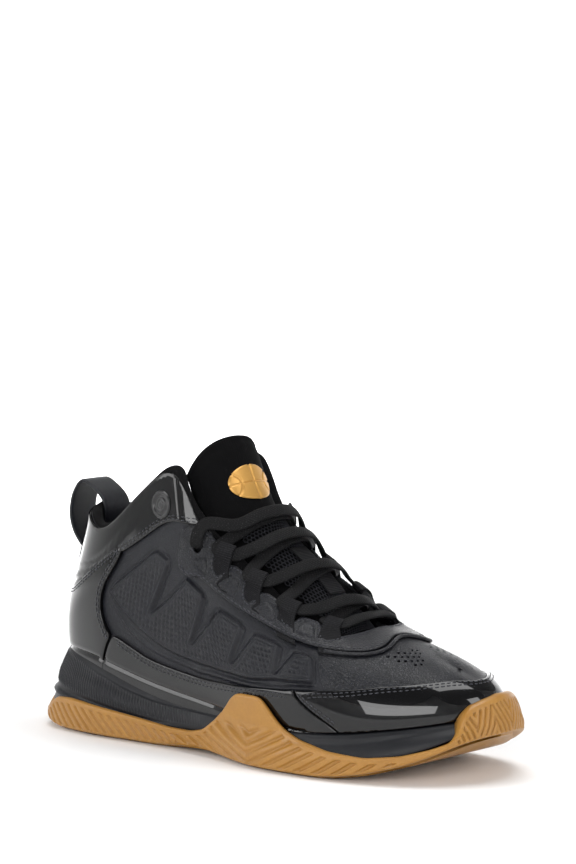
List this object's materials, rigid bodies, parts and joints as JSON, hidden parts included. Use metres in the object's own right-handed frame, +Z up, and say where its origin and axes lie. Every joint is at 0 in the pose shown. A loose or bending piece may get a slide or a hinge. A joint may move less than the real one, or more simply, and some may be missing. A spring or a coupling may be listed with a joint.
{
  "type": "basketball high top shoe",
  "caption": "Right-foot mid-high basketball shoe: patent and pebbled leather upper on a dark midsole with a wrapping gum-rubber outsole, laced through webbing loops.",
  "frame": {"origin": "on the ground, at the centre of the heel's tread", "axes": "+X towards the toe, +Y towards the inner (medial) side of this right shoe, +Z up"},
  "size_m": [0.3042, 0.1122, 0.1669],
  "materials": {
    "gum_rubber": "satin translucent gum",
    "midsole_foam": "moulded, matte",
    "shank": "moulded",
    "board": "fibre board",
    "lining_knit": "brushed knit",
    "stiffener": "thermoformed sheet",
    "foam": "open-cell foam",
    "matte_leather": "pebbled, matte",
    "patent": "patent, high gloss",
    "eyestay_leather": "satin",
    "badge_rubber": "moulded",
    "tongue_textile": "microfibre",
    "open_mesh": "open mesh",
    "webbing": "ribbed weave",
    "gold_print": "metallic transfer",
    "lace_cord": "flat braid",
    "aglet_plastic": "clear black tube"
  },
  "bodies": {
    "shoe": {"outsole": "gum_rubber", "midsole": "midsole_foam", "shank_plate": "shank", "insole_board": "board", "sockliner_forefoot": "lining_knit", "vamp_lining": "lining_knit", "lining_lateral": "lining_knit", "lining_medial": "lining_knit", "heel_lining": "lining_knit", "toe_puff": "stiffener", "heel_counter": "stiffener", "collar_foam_lateral": "foam", "collar_foam_medial": "foam", "vamp": "matte_leather", "quarter_lateral": "matte_leather", "quarter_medial": "matte_leather", "heel_foxing": "patent", "collar_overlay_lateral": "patent", "collar_overlay_medial": "patent", "rand_lateral": "patent", "rand_medial": "patent", "toe_rand": "patent", "eyestay": "eyestay_leather", "throat_welt": "eyestay_leather", "collar_badge_lateral": "badge_rubber", "collar_badge_medial": "badge_rubber", "tongue_body": "tongue_textile", "tongue_mesh": "open_mesh", "lace_keeper": "webbing", "lace": "lace_cord", "aglet_lateral": "aglet_plastic", "aglet_medial": "aglet_plastic", "pull_tab_anchor_outer": "matte_leather", "pull_tab_anchor_inner": "matte_leather", "lace_loop_lateral_1": "webbing", "lace_loop_lateral_2": "webbing", "lace_loop_lateral_3": "webbing", "lace_loop_lateral_4": "webbing", "lace_loop_medial_1": "webbing", "lace_loop_medial_2": "webbing", "lace_loop_medial_3": "webbing", "lace_loop_medial_4": "webbing"},
    "tongue_flap": {"tongue_flap": "tongue_textile", "tongue_mark": "gold_print"},
    "pull_tab": {"heel_pull_tab": "matte_leather"},
    "sockliner_heel": {"sockliner_rear": "lining_knit"}
  },
  "joints": [
    {"name": "tongue_fold", "type": "hinge", "parent": "shoe", "child": "tongue_flap", "pos_m": [0.0863, 0, 0.1276], "axis": [0, 1, 0], "range_deg": [-8, 20], "stiffness_Nm_per_rad": 0.05},
    {"name": "pull_tab_swing", "type": "hinge", "parent": "shoe", "child": "pull_tab", "pos_m": [-0.0403, 0, 0.1008], "axis": [0.9111, 0, 0.4122], "range_deg": [-15, 15], "stiffness_Nm_per_rad": 0.01},
    {"name": "sockliner_lift", "type": "hinge", "parent": "shoe", "child": "sockliner_heel", "pos_m": [0.08, 0, 0.0285], "axis": [0, 1, 0], "range_deg": [0, 15]}
  ]
}
